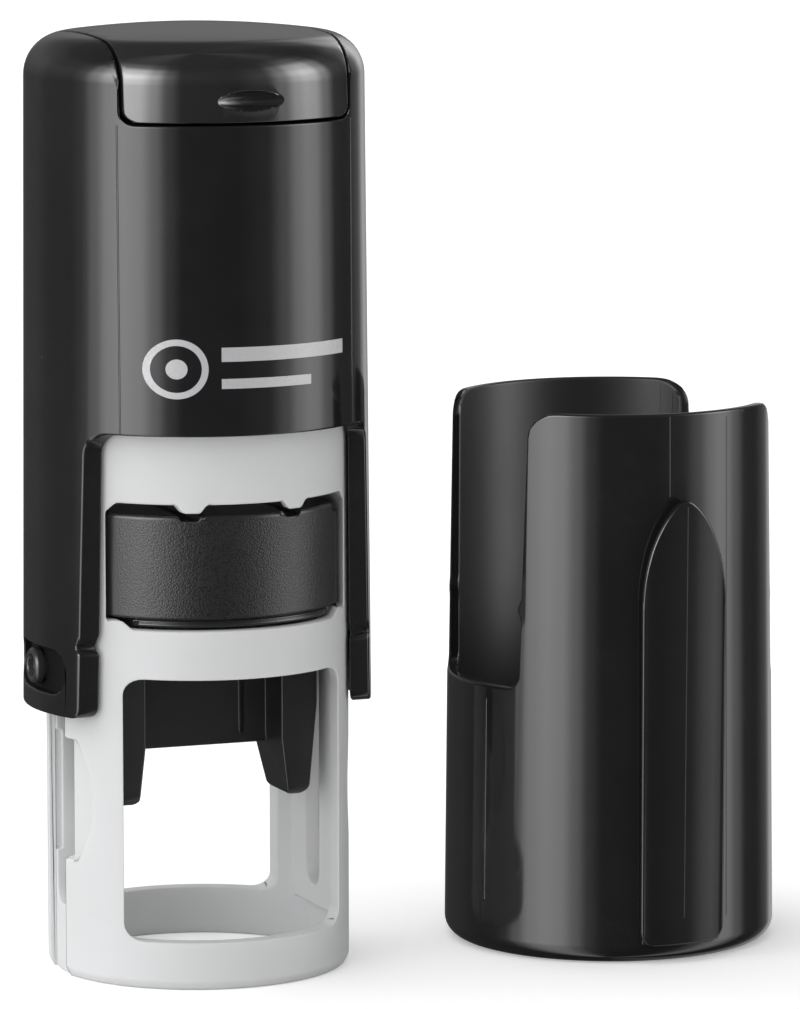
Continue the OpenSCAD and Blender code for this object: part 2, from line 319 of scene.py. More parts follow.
# a ramp holds no more than 1, so both are divided by their brightest and multiplied back
BRIGHTEST, TALLEST = 8.0, 2.0
# how bright the boxes are at each bearing in degrees: 0 is the front, -90 the left and 90 the right
COMPASS = [
    (-180, 0.1), (-166, 0.14), (-150, 0.2), (-132, 0.16), (-112, 0.2), (-101, 0.5), (-90, 2.5), (-79, 5.6),
    (-68, 6.6), (-57, 5.9), (-46, 3.0), (-37, 0.75), (-27, 0.08), (8, 0.055), (30, 0.25),
    (44, 1.5), (54, 3.6), (62, 4.4), (69, 3.9), (79, 1.6), (90, 0.2), (104, 0.12), (122, 0.35),
    (136, 1.2), (147, 0.7), (157, 0.16), (180, 0.1),
]
# how bright the boxes are at each height: up is -1 straight down, 0 level and 1 overhead
HEIGHTS = [
    (-1.0, 0.35), (-0.5, 0.55), (-0.2, 0.8), (-0.05, 1.0), (0.1, 1.55), (0.3, 2.0), (0.5, 1.3),
    (0.68, 0.25), (0.8, 0.06), (1.0, 0.06),
]
CEILING = [(0.0, 0.0), (0.5, 0.0), (0.62, 0.008), (0.86, 0.012), (1.0, 0.016)]
# the even light: where it is fullest from, its least, what the full side adds, and the backdrop
FULL_SIDE = (-0.93, 0.08, 0.36)
LEAST, FULLER, BACKDROP = 0.5, 1.3, 1.1


def build_world():
    world = bpy.data.worlds.new("studio")
    world.use_nodes = True
    tree = world.node_tree
    tree.nodes.clear()
    where = tree.nodes.new("ShaderNodeTexCoord").outputs["Generated"]
    east, north, up = axis_of(tree, where)
    bearing = maths(tree, "ARCTAN2", east, times(tree, north, -1.0))
    share = plus(tree, maths(tree, "DIVIDE", bearing, math.tau), 0.5)
    boxes = ramp(tree, share, [((a + 180) / 360, v / BRIGHTEST) for a, v in COMPASS])
    lift = plus(tree, times(tree, up, 0.5), 0.5)
    height = ramp(tree, lift, [((u + 1) / 2, v / TALLEST) for u, v in HEIGHTS])
    ceiling = ramp(tree, lift, CEILING)
    studio = times(tree, times(tree, boxes, height), TALLEST)
    studio = times(tree, plus(tree, studio, ceiling), BRIGHTEST)
    path = tree.nodes.new("ShaderNodeLightPath")
    reflected = tree.nodes.new("ShaderNodeBackground")
    link(tree, studio, reflected.inputs["Strength"])
    facing = tree.nodes.new("ShaderNodeVectorMath")
    facing.operation = "DOT_PRODUCT"
    link(tree, where, facing.inputs[0])
    facing.inputs[1].default_value = FULL_SIDE
    towards = maths(tree, "MAXIMUM", facing.outputs["Value"], 0.0)
    even = tree.nodes.new("ShaderNodeBackground")
    even.inputs["Color"].default_value = (1, 1, 1, 1)
    soft = plus(tree, times(tree, towards, FULLER), LEAST)
    backdrop = times(tree, path.outputs["Is Camera Ray"], BACKDROP)
    link(tree, maths(tree, "MAXIMUM", soft, backdrop), even.inputs["Strength"])
    choose = tree.nodes.new("ShaderNodeMixShader")
    link(tree, path.outputs["Is Glossy Ray"], choose.inputs[0])
    link(tree, even.outputs[0], choose.inputs[1])
    link(tree, reflected.outputs[0], choose.inputs[2])
    out = tree.nodes.new("ShaderNodeOutputWorld")
    link(tree, choose.outputs[0], out.inputs["Surface"])
    scene.world = world
    return len(tree.nodes)


print("world nodes:", build_world())


# %% [markdown]
# ## Shared surface effects
# Moulded plastic is never perfect. Three effects are used again and again: a fine texture that the mould
# leaves, cloudy changes of shine from handling, and sparse specks of dust. Each is a node group with
# named sockets, so that every finish places it with its own values.

# %% Node groups
# how far noise shifts the grain's pebbles, in metres, so that they don't look like cells
PEBBLE_SHIFT = 0.00012


def new_group(name, inputs, outputs):
    group = bpy.data.node_groups.new(name, "ShaderNodeTree")
    for label, kind, value in inputs:
        socket = group.interface.new_socket(label, in_out="INPUT", socket_type="NodeSocket" + kind)
        if value is not None:
            socket.default_value = value
    for label, kind in outputs:
        group.interface.new_socket(label, in_out="OUTPUT", socket_type="NodeSocket" + kind)
    return group, group.nodes.new("NodeGroupInput").outputs, group.nodes.new("NodeGroupOutput").inputs


def noise(tree, vector, scale, detail=2.0, distortion=0.0):
    node = tree.nodes.new("ShaderNodeTexNoise")
    node.inputs["Detail"].default_value = detail
    node.inputs["Distortion"].default_value = distortion
    node.inputs["Scale"].default_value = scale
    link(tree, vector, node.inputs["Vector"])
    return node.outputs[0]


def spread(tree, value, low, high, to_low, to_high):
    """value from low to high, mapped to run from to_low to to_high and held there beyond."""
    node = tree.nodes.new("ShaderNodeMapRange")
    link(tree, value, node.inputs[0])
    for socket, number in zip(node.inputs[1:5], (low, high, to_low, to_high)):
        socket.default_value = number
    return node.outputs[0]


def handling_group():
    """Cloudy roughness: broad smears and finer prints."""
    group, given, out = new_group(
        "handling", [("Position", "Vector", None), ("Base", "Float", 0.1), ("Amount", "Float", 0.05)],
        [("Roughness", "Float"), ("Mask", "Float")])
    broad = noise(group, given["Position"], 95.0, 3.0)
    fine = noise(group, given["Position"], 620.0, 2.0)
    mixed = plus(group, times(group, broad, 0.7), times(group, fine, 0.3))
    mask = spread(group, mixed, 0.4, 0.66, 0.0, 1.0)
    dulled = plus(group, given["Base"], times(group, mask, given["Amount"]))
    link(group, dulled, out["Roughness"])
    link(group, mask, out["Mask"])
    return group


def dust_group():
    """Tiny pale specks, scattered one to a cell and mostly left out."""
    group, given, out = new_group(
        "dust", [("Position", "Vector", None), ("Scale", "Float", 900.0), ("Share", "Float", 0.05)],
        [("Mask", "Float")])
    cells = group.nodes.new("ShaderNodeTexVoronoi")
    link(group, given["Position"], cells.inputs["Vector"])
    link(group, given["Scale"], cells.inputs["Scale"])
    speck = spread(group, cells.outputs["Distance"], 0.05, 0.11, 1.0, 0.0)
    chosen = maths(group, "LESS_THAN", axis_of(group, cells.outputs["Color"])[0], given["Share"])
    link(group, times(group, speck, chosen), out["Mask"])
    return group


def grain_group():
    """Leather grain: rounded pebbles with narrow creases between them, and a mask of the creases for painted
    shade.
    """
    group, given, out = new_group(
        "leather_grain", [("Position", "Vector", None), ("Scale", "Float", 3000.0)],
        [("Height", "Float"), ("Crease Shade", "Float")])
    bend = group.nodes.new("ShaderNodeTexNoise")
    link(group, given["Position"], bend.inputs["Vector"])
    bend.inputs["Scale"].default_value = 3600.0
    shift = group.nodes.new("ShaderNodeVectorMath")
    shift.operation = "MULTIPLY_ADD"
    link(group, bend.outputs["Color"], shift.inputs[0])
    shift.inputs[1].default_value = (PEBBLE_SHIFT,) * 3
    link(group, given["Position"], shift.inputs[2])
    cells = group.nodes.new("ShaderNodeTexVoronoi")
    cells.feature = "SMOOTH_F1"
    cells.inputs["Smoothness"].default_value = 0.35
    link(group, shift.outputs[0], cells.inputs["Vector"])
    link(group, given["Scale"], cells.inputs["Scale"])
    height = spread(group, cells.outputs["Distance"], 0.1, 0.75, 1.0, 0.0)
    link(group, height, out["Height"])
    link(group, spread(group, height, 0.15, 0.45, 1.0, 0.0), out["Crease Shade"])
    return group


HANDLING, DUST, GRAIN = handling_group(), dust_group(), grain_group()
print("groups:", [g.name for g in bpy.data.node_groups])

# %% [markdown]
# ## Finishes
# Each finish starts from the same small base: a Principled shader, the object's own coordinates, and a
# helper that places a group. Numbers that are the same all over stay on the shader's own sockets.

# %% Finish helpers
def new_finish(name, colour, roughness, **sockets):
    material = bpy.data.materials.new(name)
    material.use_nodes = True
    tree = material.node_tree
    shader = tree.nodes["Principled BSDF"]
    shader.inputs["Base Color"].default_value = (*colour, 1)
    shader.inputs["Roughness"].default_value = roughness
    for label, value in sockets.items():
        shader.inputs[label.replace("_", " ")].default_value = value
    material.diffuse_color = (*colour, 1)
    where = tree.nodes.new("ShaderNodeTexCoord").outputs["Object"]
    return material, tree, shader, where


def cover_with(tree, shader, shade, rough):
    link(tree, shade, shader.inputs["Base Color"])
    link(tree, rough, shader.inputs["Roughness"])


def placed(tree, group, **values):
    node = tree.nodes.new("ShaderNodeGroup")
    node.node_tree = group
    for label, value in values.items():
        if isinstance(value, (int, float)):
            node.inputs[label].default_value = value
        else:
            link(tree, value, node.inputs[label])
    return node.outputs


def mixed_colour(tree, factor, first, second):
    node = tree.nodes.new("ShaderNodeMix")
    node.data_type = "RGBA"
    if isinstance(factor, (int, float)):
        node.inputs[0].default_value = factor
    else:
        link(tree, factor, node.inputs[0])
    for socket, value in ((node.inputs[6], first), (node.inputs[7], second)):
        if isinstance(value, tuple):
            socket.default_value = (*value, 1)
        else:
            link(tree, value, socket)
    return node.outputs[2]


def bump(tree, shader, height, strength, distance, after=None):
    node = tree.nodes.new("ShaderNodeBump")
    node.inputs["Strength"].default_value = strength
    node.inputs["Distance"].default_value = distance
    link(tree, height, node.inputs["Height"])
    if after is not None:
        link(tree, after, node.inputs["Normal"])
    link(tree, node.outputs[0], shader.inputs["Normal"])
    return node.outputs[0]


def axis_distance(tree, x, y):
    return maths(tree, "SQRT", plus(tree, times(tree, x, x), times(tree, y, y)))


def line_mask(tree, value, at, half):
    """1 in a thin line where value is near at, fading to 0."""
    away = maths(tree, "ABSOLUTE", maths(tree, "SUBTRACT", value, at))
    return spread(tree, away, half * 0.5, half, 1.0, 0.0)


# %% [markdown]
# ### High-gloss black
# The casing, its cover and the cap are polished black plastic. It is close to a black mirror, so its own
# detail is quiet: a slow ripple where the plastic cooled, faint prints that dull the shine, and dust. The
# casing also shows two hairlines where the mould's side cores met, just outside the cover, and they run
# from the cover's sides down to the corners of the window.

# %% Gloss blacks
def hairline(tree, value, z, at, low, high, half=0.00005):
    """A thin upright line where value is near at, from low to high."""
    above, below = maths(tree, "GREATER_THAN", z, low), maths(tree, "LESS_THAN", z, high)
    inside = times(tree, above, below)
    return times(tree, line_mask(tree, value, at, half), inside)


def gloss_black(name, colour, shine, seams=None, dull_inside=None, **sockets):
    """Polished plastic. seams(tree, where) gives a groove mask and a mask of raised lines; the raised lines
    are bumped up and painted lighter, a painted highlight.

    dull_inside(tree, where) is 1 on an unpolished inside.
    """
    material, tree, shader, where = new_finish(name, colour, shine, IOR=1.5, **sockets)
    marks = placed(tree, HANDLING, Position=where, Base=shine, Amount=0.05)
    specks = placed(tree, DUST, Position=where, Scale=820.0, Share=0.02)["Mask"]
    rough = plus(tree, marks["Roughness"], times(tree, specks, 0.2))
    smeared, dusty = tuple(c * 1.25 for c in colour), tuple(c + 0.02 for c in colour)
    shade = mixed_colour(tree, specks, mixed_colour(tree, marks["Mask"], colour, smeared), dusty)
    if dull_inside:
        dull = dull_inside(tree, where)
        rough = plus(tree, rough, times(tree, dull, 0.3))
        shade = mixed_colour(tree, dull, shade, tuple(c * 1.8 for c in colour))
    before = None
    if seams:
        groove, ridge_and_highlight = seams(tree, where)
        shade = mixed_colour(tree, groove, shade, (0.002, 0.002, 0.002))
        # lighter colour along the raised lines: a painted highlight, on top of their bump
        shade = mixed_colour(tree, ridge_and_highlight, shade, tuple(c + 0.05 for c in colour))
        step = maths(tree, "SUBTRACT", ridge_and_highlight, groove)
        before = bump(tree, shader, step, 0.5, 0.00004)
    bump(tree, shader, noise(tree, where, 210.0, 2.0), 0.25, 0.00002, before)
    cover_with(tree, shader, shade, rough)
    return material


def casing_seams(tree, where):
    x, _, z = axis_of(tree, where)
    return hairline(tree, maths(tree, "ABSOLUTE", x), z, 0.0087, 0.0398, 0.0616), 0.0


GLOSS = (0.0115, 0.0115, 0.0125)
casing_black = gloss_black("casing_black", GLOSS, 0.075, casing_seams)
cover_smoke = gloss_black("cover_smoke", (0.015, 0.015, 0.016), 0.06, Specular_IOR_Level=0.85)
print("gloss blacks made")

# %% [markdown]
# The cap has seams of its own: a groove down the front beside the clip, a faint raised line above the clip's
# tip and one on the left below the slot. The two raised lines are bumped up and painted lighter, a painted
# highlight. They are placed in the cap's own frame, so the coordinates are first moved to its axis and turned
# back. Its inside is not polished, as the core that shapes it isn't.

# %% Cap finishes
CAP_X, CAP_Y, CAP_TURN = 31.6, -1.5, 2.4


def cap_axes(tree, where):
    node = tree.nodes.new("ShaderNodeMapping")
    node.vector_type = "TEXTURE"
    node.inputs["Location"].default_value = (CAP_X / 1000, CAP_Y / 1000, 0)
    node.inputs["Rotation"].default_value = (0, 0, math.radians(CAP_TURN))
    link(tree, where, node.inputs["Vector"])
    return axis_of(tree, node.outputs[0])


def cap_seams_and_highlights(tree, where):
    x, y, z = cap_axes(tree, where)
    front = maths(tree, "LESS_THAN", y, -0.005)
    left = maths(tree, "LESS_THAN", x, -0.005)
    groove = times(tree, hairline(tree, x, z, 0.0041, 0.003, 0.0395), front)
    # the two raised lines: bump and a painted highlight
    above = times(tree, hairline(tree, x, z, -0.00075, 0.034, 0.0398, 0.00004), front)
    beside = times(tree, hairline(tree, y, z, -0.0034, 0.004, 0.0188, 0.00006), left)
    return groove, maths(tree, "MAXIMUM", above, beside)


def cap_inside(tree, where):
    x, y, z = cap_axes(tree, where)
    inward = spread(tree, axis_distance(tree, x, y), 0.01122, 0.01128, 1.0, 0.0)
    return times(tree, inward, maths(tree, "GREATER_THAN", z, 0.001))


def clip_line_and_highlight(tree, where):
    x, _, z = cap_axes(tree, where)
    # a raised line down the clip's middle: bump and a painted highlight
    return 0.0, hairline(tree, x, z, 0.0, 0.0034, 0.0334, 0.00004)


cap_black = gloss_black("cap_black", GLOSS, 0.085, cap_seams_and_highlights, cap_inside)
clip_black = gloss_black("clip_black", (0.011, 0.011, 0.012), 0.09, clip_line_and_highlight)
print("cap finishes made")

# %% [markdown]
# ### Satin plastics
# The frame is light grey with a very fine spark-eroded texture, the carrier and pins are black with the
# same texture and a little more shine. Height noise at two scales gives it: one near the size of the
# texture itself, and a slow one for the sink marks beside ribs. The pockets for the pin heads get a duller
# black of their own, painted darker than the casing because light hardly reaches into them: painted shade.

# %% Satin plastics
def satin(name, colour, roughness, clouded, texture=0.3, **sockets):
    material, tree, shader, where = new_finish(name, colour, roughness, **sockets)
    marks = placed(tree, HANDLING, Position=where, Base=roughness, Amount=0.08)
    cloud = noise(tree, where, 140.0, 3.0)
    shade = mixed_colour(tree, spread(tree, cloud, 0.35, 0.7, 0.0, 1.0), colour, clouded)
    cover_with(tree, shader, shade, marks["Roughness"])
    fine = noise(tree, where, 9000.0, 2.0)
    slow = noise(tree, where, 260.0, 1.0)
    first = bump(tree, shader, slow, 0.15, 0.00003)
    bump(tree, shader, fine, texture, 0.000015, first)
    return material


# darker colour inside the pin pockets: painted shade, with a duller, rougher shine
pocket_painted_shade = satin("pocket_painted_shade", (0.006, 0.006, 0.0065), 0.55, (0.004, 0.004, 0.0045),
                     Specular_IOR_Level=0.15)
frame_grey = satin("frame_grey", (0.69, 0.693, 0.7), 0.5, (0.67, 0.673, 0.678), Specular_IOR_Level=0.3,
                   Subsurface_Weight=0.2, Subsurface_Scale=0.002, Subsurface_Radius=(1.0, 1.0, 1.0))
carrier_black = satin("carrier_black", (0.0165, 0.0165, 0.0175), 0.33, (0.023, 0.023, 0.024), 0.35)
pin_black = satin("pin_black", (0.026, 0.026, 0.028), 0.24, (0.034, 0.034, 0.036), 0.2)
print("satin plastics made")

# %% [markdown]
# ### The ink tray's leather grain
# The tray is meant to be gripped, so its curved faces are moulded with a fine leather grain, whose pebbles
# are a little over a tenth of a millimetre across. Its top and bottom lips are smooth. The creases between
# the pebbles are painted darker: painted shade. The grain is masked by height and by how far round the face
# it lies, so that the smooth edge bands stay smooth.

# %% Tray finish
def tray_finish():
    material, tree, shader, where = new_finish("tray_black", (0.018, 0.018, 0.019), 0.36)
    x, _, z = axis_of(tree, where)
    grain = placed(tree, GRAIN, Position=where, Scale=7600.0)
    above_lip = spread(tree, z, 0.0266, 0.02675, 0.0, 1.0)
    below_lip = spread(tree, z, 0.0336, 0.03375, 1.0, 0.0)
    in_width = spread(tree, maths(tree, "ABSOLUTE", x), 0.0081, 0.0083, 1.0, 0.0)
    face = times(tree, times(tree, above_lip, below_lip), in_width)
    height = times(tree, grain["Height"], face)
    # the creases are painted darker: painted shade between the pebbles
    dark, light = (0.01, 0.01, 0.0105), (0.017, 0.017, 0.018)
    shade = mixed_colour(tree, times(tree, grain["Crease Shade"], face), light, dark)
    marks = placed(tree, HANDLING, Position=where, Base=0.27, Amount=0.06)
    cover_with(tree, shader, shade, plus(tree, marks["Roughness"], times(tree, face, 0.12)))
    bump(tree, shader, height, 0.6, 0.000022)
    return material


tray_black = tray_finish()
print("tray finish made")

# %% [markdown]
# ### Felt, foam, rubber, card and wire
# These are hidden at rest and come into view as the stamp is pressed, opened or looked at from below.
# Felt is short tangled fibre soaked in ink. Foam is closed cells. The rubber is soft-looking and holds a
# film of ink on its raised face. The card is paper, with a sample imprint. The spring is drawn wire.

# %% Soft and hidden finishes
def felt_finish():
    material, tree, shader, where = new_finish("ink_felt", (0.022, 0.018, 0.03), 0.85, Sheen_Weight=0.25)
    fibre = noise(tree, where, 5200.0, 6.0, distortion=2.2)
    soak = noise(tree, where, 420.0, 3.0)
    soaked = spread(tree, soak, 0.35, 0.65, 0.0, 1.0)
    shade = mixed_colour(tree, soaked, (0.012, 0.01, 0.02), (0.045, 0.035, 0.062))
    shade = mixed_colour(tree, fibre, shade, (0.06, 0.05, 0.08))
    cover_with(tree, shader, shade, spread(tree, soak, 0.3, 0.7, 0.55, 0.95))
    bump(tree, shader, fibre, 0.9, 0.0002)
    return material


def foam_finish():
    material, tree, shader, where = new_finish("foam", (0.1, 0.1, 0.1), 0.9)
    cells = tree.nodes.new("ShaderNodeTexVoronoi")
    cells.inputs["Scale"].default_value = 4800.0
    link(tree, where, cells.inputs["Vector"])
    away = cells.outputs["Distance"]
    shade = mixed_colour(tree, away, (0.13, 0.13, 0.13), (0.05, 0.05, 0.05))
    link(tree, shade, shader.inputs["Base Color"])
    bump(tree, shader, away, 0.8, 0.0001)
    return material


def rubber_finish():
    material, tree, shader, where = new_finish("die_rubber", (0.3, 0.08, 0.06), 0.6)
    z = axis_of(tree, where)[2]
    inked = spread(tree, z, 0.0284, 0.02868, 0.0, 1.0)
    smear = spread(tree, noise(tree, where, 700.0, 4.0), 0.4, 0.62, 0.0, 1.0)
    wet = maths(tree, "MAXIMUM", inked, times(tree, smear, 0.35))
    mottle = noise(tree, where, 2600.0, 2.0)
    clean = mixed_colour(tree, mottle, (0.3, 0.085, 0.065), (0.24, 0.06, 0.045))
    shade = mixed_colour(tree, wet, clean, (0.02, 0.016, 0.03))
    cover_with(tree, shader, shade, spread(tree, wet, 0.0, 1.0, 0.62, 0.3))
    bump(tree, shader, noise(tree, where, 5200.0, 2.0), 0.3, 0.00003)
    return material


def card_finish():
    material, tree, shader, where = new_finish("card", (0.82, 0.8, 0.74), 0.8)
    x, y, _ = axis_of(tree, where)
    fibre = noise(tree, where, 3400.0, 5.0)
    paper = mixed_colour(tree, fibre, (0.86, 0.84, 0.79), (0.76, 0.74, 0.68))
    ink = line_mask(tree, axis_distance(tree, x, y), 0.00575, 0.0003)
    for at, half in ((0.0018, 0.0027), (0.0, 0.0038), (-0.0018, 0.0027)):
        bar = times(tree, line_mask(tree, y, at, 0.0005),
                    maths(tree, "LESS_THAN", maths(tree, "ABSOLUTE", x), half))
        ink = maths(tree, "MAXIMUM", ink, bar)
    patchy = times(tree, ink, spread(tree, fibre, 0.3, 0.6, 0.7, 1.0))
    shade = mixed_colour(tree, patchy, paper, (0.04, 0.035, 0.07))
    cover_with(tree, shader, shade, spread(tree, fibre, 0.3, 0.7, 0.7, 0.9))
    bump(tree, shader, fibre, 0.3, 0.00004)
    return material


def wire_finish():
    material, tree, shader, where = new_finish("spring_steel", (0.55, 0.55, 0.56), 0.28, Metallic=1.0)
    drawn = tree.nodes.new("ShaderNodeTexWave")
    drawn.inputs["Scale"].default_value = 1600.0
    drawn.inputs["Distortion"].default_value = 6.0
    link(tree, where, drawn.inputs["Vector"])
    lines = drawn.outputs["Fac"]
    shade = mixed_colour(tree, noise(tree, where, 900.0, 3.0), (0.6, 0.6, 0.61), (0.42, 0.42, 0.43))
    cover_with(tree, shader, shade, spread(tree, lines, 0.0, 1.0, 0.22, 0.38))
    bump(tree, shader, lines, 0.2, 0.00001)
    return material


def print_finish():
    material, tree, shader, where = new_finish("silver_print", (0.5, 0.5, 0.51), 0.5, Metallic=0.2)
    flake = noise(tree, where, 12000.0, 2.0)
    shade = mixed_colour(tree, flake, (0.62, 0.62, 0.63), (0.42, 0.42, 0.43))
    cover_with(tree, shader, shade, spread(tree, flake, 0.3, 0.7, 0.4, 0.6))
    return material


ink_felt, foam, die_rubber = felt_finish(), foam_finish(), rubber_finish()
card_paper, spring_steel, silver_print = card_finish(), wire_finish(), print_finish()
print("finishes:", len(bpy.data.materials))

# %% [markdown]
# ## The casing
# One moulding: a tapered tube with a low crown, cut away front and back so that two arms are left. The
# shell is a single lathe outline, walked up the outside and down the inside, so the wall has its real
# thickness. Then come the windows, the step for the cover, the pockets for the pin heads and the bore
# that the pins turn in.

# %% Casing sizes and outline
STAMP_H = 68.0
ARM_END = 19.3
WINDOW_TOP = 39.8
LOW_R, HIGH_R = 12.55, 12.16
CROWN_R, SHOULDER_R = 72.0, 3.0
CROWN_Z = STAMP_H - CROWN_R
SHOULDER_X = HIGH_R - SHOULDER_R
SHOULDER_Z = CROWN_Z + math.sqrt((CROWN_R - SHOULDER_R) ** 2 - SHOULDER_X ** 2)
SHOULDER_TURN = math.degrees(math.atan2(SHOULDER_Z - CROWN_Z, SHOULDER_X))
PIVOT_Z = 22.4
CASING_BORE_R, ROOF_Z = 11.2, 60.3
POCKET_FLOOR_R = 11.85
CARD_Z = 66.3


def dome_outline(wall, low=ARM_END, side_steps=1):
    """From the top of the axis out over the crown and down the side, set in by wall."""
    crown = arc(0, CROWN_Z, CROWN_R - wall, 90, SHOULDER_TURN, 8)
    crown[0] = (0.0, STAMP_H - wall)
    shoulder = arc(SHOULDER_X, SHOULDER_Z, SHOULDER_R - wall, SHOULDER_TURN, 0, 12)[1:]
    return crown + shoulder + [(LOW_R - wall, low)]


def arm_half(z):
    """Half the width of an arm, which widens a little towards the top."""
    return 6.0 + 0.4 * (z - ARM_END) / (WINDOW_TOP - ARM_END)


def window_cutter(side):
    """All that lies in front of (or behind) the two arms, below the window's top."""
    edge = [(5.2, ARM_END - 2)] + arc(5.2, ARM_END + 0.8, 0.8, -90, 0, 6)
    edge += [(arm_half(23.9), 23.9), (arm_half(24.4) - 0.35, 24.4), (arm_half(25.3), 25.3)]
    edge += arc(8.0, WINDOW_TOP - 1.6, 1.6, 180, 90, 8)
    edge += [(CLEAR, WINDOW_TOP), (CLEAR, ARM_END - 2)]
    return prism([(side * y, z) for y, z in edge], "x", -CLEAR, CLEAR)


def cover_block(grow, low=61.8):
    edge = arc(8.35 + grow - 0.9, low - grow + 0.9, 0.9, -90, 0, 6) + [(8.35 + grow, 72)]
    return prism(mirrored_pair(edge), "y", -CLEAR, CLEAR)


def stadium(half, r, z):
    return arc(half, z, r, -90, 90, 16) + arc(-half, z, r, 90, 270, 16)


print("shoulder turns at", round(SHOULDER_TURN, 2), "degrees; arm half width", round(arm_half(30), 2))

# %% [markdown]
# The cover sits in a step as deep as itself plus a hairline gap. The step is the shell between two domes,
# kept only where the cover's own block passes through it. The faces inside the two pockets take the duller
# black, whose darker colour is painted shade.

# %% Casing
def dome_shell(outer, inner, low):
    """The shell between two dome outlines, down to a height."""
    return lathe(dome_outline(outer, low) + list(reversed(dome_outline(inner, low))))


def make_casing():
    outside = dome_outline(0)
    inside = [(CASING_BORE_R, ARM_END), (CASING_BORE_R, ROOF_Z), (9.6, ROOF_Z), (9.6, 65), (3.3, 65),
              (3.3, 61.5), (0, 61.5)]
    shell = lathe(outside + inside)
    step = common(dome_shell(-0.6, 1.2, 56), cover_block(0.2))
    core = lathe([(0, 10), (POCKET_FLOOR_R, 10), (POCKET_FLOOR_R, 40), (0, 40)])
    pockets = cut(prism(stadium(3.1, 1.6, PIVOT_Z), "x", -CLEAR, CLEAR), core)
    bore = turned_to_x(lathe([(0, -CLEAR), (1.2, -CLEAR), (1.2, CLEAR), (0, CLEAR)], 48))
    bmesh.ops.translate(bore, verts=bore.verts, vec=(0, 0, PIVOT_Z))
    recess = lathe([(0, CARD_Z), (7.2, CARD_Z), (7.2, 70), (0, 70)], 96)
    shell = cut(shell, window_cutter(-1), window_cutter(1), step, recess, pockets, bore)
    thing = finished(shell, "casing_shell", "casing", casing_black, ["casing"],
                     edge=0.16, segments=3)
    # the pocket faces get the darker colour: painted shade inside the pin pockets
    thing.data.materials.append(pocket_painted_shade)
    for face in thing.data.polygons:
        x, y, z = (c * 1000 for c in face.center)
        if abs(z - PIVOT_Z) < 1.7 and abs(y) < 4.8 and 11.3 < math.hypot(x, y) < 12.38:
            face.material_index = 1
    return thing


casing = make_casing()

# %% [markdown]
# ## The index cover
# A thin smoke-black shell that wraps over the crown and a little way down the front and back. A lens-shaped
# slot for a thumbnail is let into its front. A ball flattened and stretched sideways cuts it, so its floor
# is a smooth dish and its ends run out thin.

# %% Index cover
def thumb_lens():
    bm = bmesh.new()
    bmesh.ops.create_uvsphere(bm, u_segments=64, v_segments=32, radius=1)
    bmesh.ops.scale(bm, vec=(2.95, 1.1, 0.78), verts=bm.verts)
    return moved(bm, Matrix.Translation((0, -HIGH_R - 0.42, 63.3)))


def make_cover():
    shell = common(dome_shell(0, 1.0, 56), cover_block(0))
    shell = cut(shell, thumb_lens())
    return finished(shell, "index_cover_shell", "cover", cover_smoke, ["index_cover"],
                    edge=0.07)


cover = make_cover()

# %% [markdown]
# ## The index card and the printed mark
# The card is a punched paper disc. The casing's front carries a plain printed mark: a ring with a dot, for
# the round imprint, and two bars. It is a film of ink a few hundredths of a millimetre thick, so it is cut
# from a shell that follows the casing's taper.

# %% Card and mark
def make_card():
    disc = lathe([(0, CARD_Z), (7, CARD_Z), (7, 66.5), (0, 66.5)], 96)
    return finished(disc, "card_disc", "casing", card_paper, ["index_card"],
                    edge=0.03, segments=1)


RING_X, RING_Z = -5.3, 44.6
PROUD, SUNK = 0.012, 0.03


def wall_r(z):
    return HIGH_R + (LOW_R - HIGH_R) * (SHOULDER_Z - z) / (SHOULDER_Z - ARM_END)


def make_mark():
    film = lathe([(wall_r(50) + PROUD, 50), (wall_r(40) + PROUD, 40),
                  (wall_r(40) - SUNK, 40), (wall_r(50) - SUNK, 50)], 2 * TURNS)
    hole = prism(arc(RING_X, RING_Z, 1.65, 0, 356, 63), "y", -CLEAR - 1, 1)
    ring = cut(prism(arc(RING_X, RING_Z, 2.1, 0, 356, 63), "y", -CLEAR, 0), hole)
    dot = prism(arc(RING_X, RING_Z, 0.7, 0, 350, 35), "y", -CLEAR, 0)
    bars = [block((-2.3, -CLEAR, 45.1), (7.6, 0, 46.1)), block((-2.3, -CLEAR, 43.2), (4.6, 0, 43.9))]
    print_shape = common(film, joined(ring, dot, *bars))
    bmesh.ops.recalc_face_normals(print_shape, faces=print_shape.faces)
    return finished(print_shape, "printed_mark", "casing", silver_print, [],
                    edge=0, sharp=25)


card = make_card()
mark = make_mark()

# %% [markdown]
# ## The base frame
# A light grey tube with a ring that stands on the paper, a window each way for the die, a smaller opening
# above it for the ink tray, and a deck that carries the spring. Its flat cheeks keep the carrier in line.
# Outside, each flank has a channel for the pin. A deeper cam recess, arched at its front, opens off it.

# %% Base frame sizes and cutters
FRAME_R, FRAME_BORE_R = 10.9, 9.8
FOOT_BORE_R = 9.5
DECK_Z = 43.0
CHANNEL_FLOOR_R, CAM_FLOOR_R = 10.4, 9.98


def low_window():
    half, low, high, r = 8.1, 3.45, 22.3, 1.2
    edge = arc(half - r, low + r, r, -90, 0, 6) + arc(half - r, high - r, r, 0, 90, 6)
    return prism(mirrored_pair(edge), "y", -CLEAR, CLEAR)


def pad_window():
    low, top = 25.8, 34.8
    edge = [(7.5, low), (8.1, low + 0.6), (8.95, low + 0.6), (8.95, top - 0.7), (8.4, top), (4.85, top)]
    edge += [(4.4, top - 0.6), (3.3, top - 0.6), (2.85, top)]
    return prism(mirrored_pair(edge), "y", -CLEAR, CLEAR)


def both_sides(near, low, high):
    """A block on each side, outwards from near."""
    return [block((near, -12, low), (12, 12, high)), block((-12, -12, low), (-near, 12, high))]


